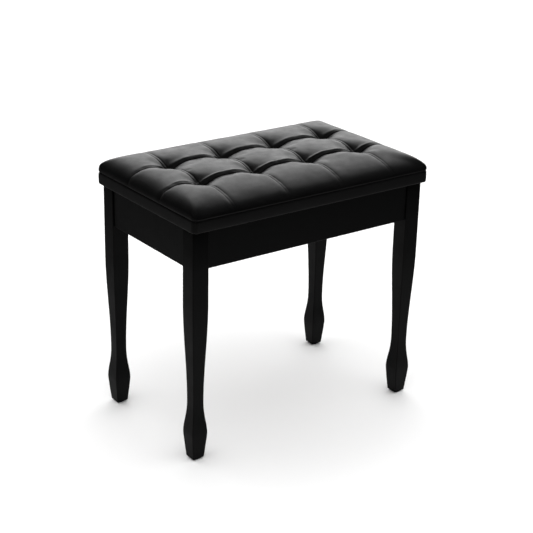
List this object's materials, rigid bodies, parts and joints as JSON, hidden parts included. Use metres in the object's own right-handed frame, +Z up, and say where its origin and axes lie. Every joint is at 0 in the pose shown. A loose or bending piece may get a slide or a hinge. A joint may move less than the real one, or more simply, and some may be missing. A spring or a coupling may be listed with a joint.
{
  "type": "piano bench",
  "caption": "Black piano bench: tufted seat on a hinged lid over a shallow storage box, on square tapered legs with flared feet.",
  "frame": {"origin": "centre of the footprint, on the floor", "axes": "+X along the seat to the player's right, -Y towards the player, +Y the hinge side, +Z up"},
  "size_m": [0.514, 0.318, 0.49],
  "materials": {
    "black_paint": "satin black paint",
    "black_leather": "grained black leatherette, soft sheen",
    "plywood": "raw birch plywood",
    "hardboard": "smooth brown hardboard",
    "raw_pine": "planed pine",
    "foam": "open-cell foam",
    "twine": "waxed twine",
    "cambric": "black non-woven cloth",
    "zinc_steel": "zinc-plated, slightly dull",
    "rubber": "matt",
    "glide_plastic": "matt"
  },
  "bodies": {
    "frame": {"leg_front_left": "black_paint", "leg_front_right": "black_paint", "leg_back_left": "black_paint", "leg_back_right": "black_paint", "foot_glides": "glide_plastic", "apron_front": "black_paint", "apron_back": "black_paint", "apron_left": "black_paint", "apron_right": "black_paint", "corner_blocks": "raw_pine", "block_screws": "zinc_steel", "hanger_bolts": "zinc_steel", "bolt_washers": "zinc_steel", "wing_nuts": "zinc_steel", "storage_panel": "hardboard", "panel_cleats": "raw_pine", "cleat_screws": "zinc_steel", "panel_nails": "zinc_steel", "lid_bumpers": "rubber", "hinge_frame_leaves": "zinc_steel", "hinge_pins": "zinc_steel", "hinge_frame_screws": "zinc_steel", "stay_rail": "zinc_steel", "stay_rail_screws": "zinc_steel"},
    "lid": {"seat_board": "plywood", "foam_pad": "foam", "cover_top": "black_leather", "cover_band": "black_leather", "tuft_ties": "twine", "tie_washers": "zinc_steel", "dust_cover": "cambric", "cover_staples": "zinc_steel", "hinge_lid_leaves": "zinc_steel", "hinge_lid_screws": "zinc_steel", "stay_bracket": "zinc_steel", "stay_pivot_pin": "zinc_steel", "stay_bracket_screws": "zinc_steel"},
    "stay_arm": {"stay_arm": "zinc_steel", "stay_slide_pin": "zinc_steel"}
  },
  "joints": [
    {"name": "lid_hinge", "type": "hinge", "parent": "frame", "child": "lid", "pos_m": [0, 0.1475, 0.4325], "axis": [-1, 0, 0], "range_deg": [0, 75]},
    {"name": "stay_pivot", "type": "hinge", "parent": "lid", "child": "stay_arm", "pos_m": [0.2261, 0.0381, 0.421], "axis": [-1, 0, 0], "range_deg": [-150, 0]}
  ],
  "couplings": [
    {"joint": "stay_pivot", "follows": "lid_hinge", "ratio": -2}
  ]
}
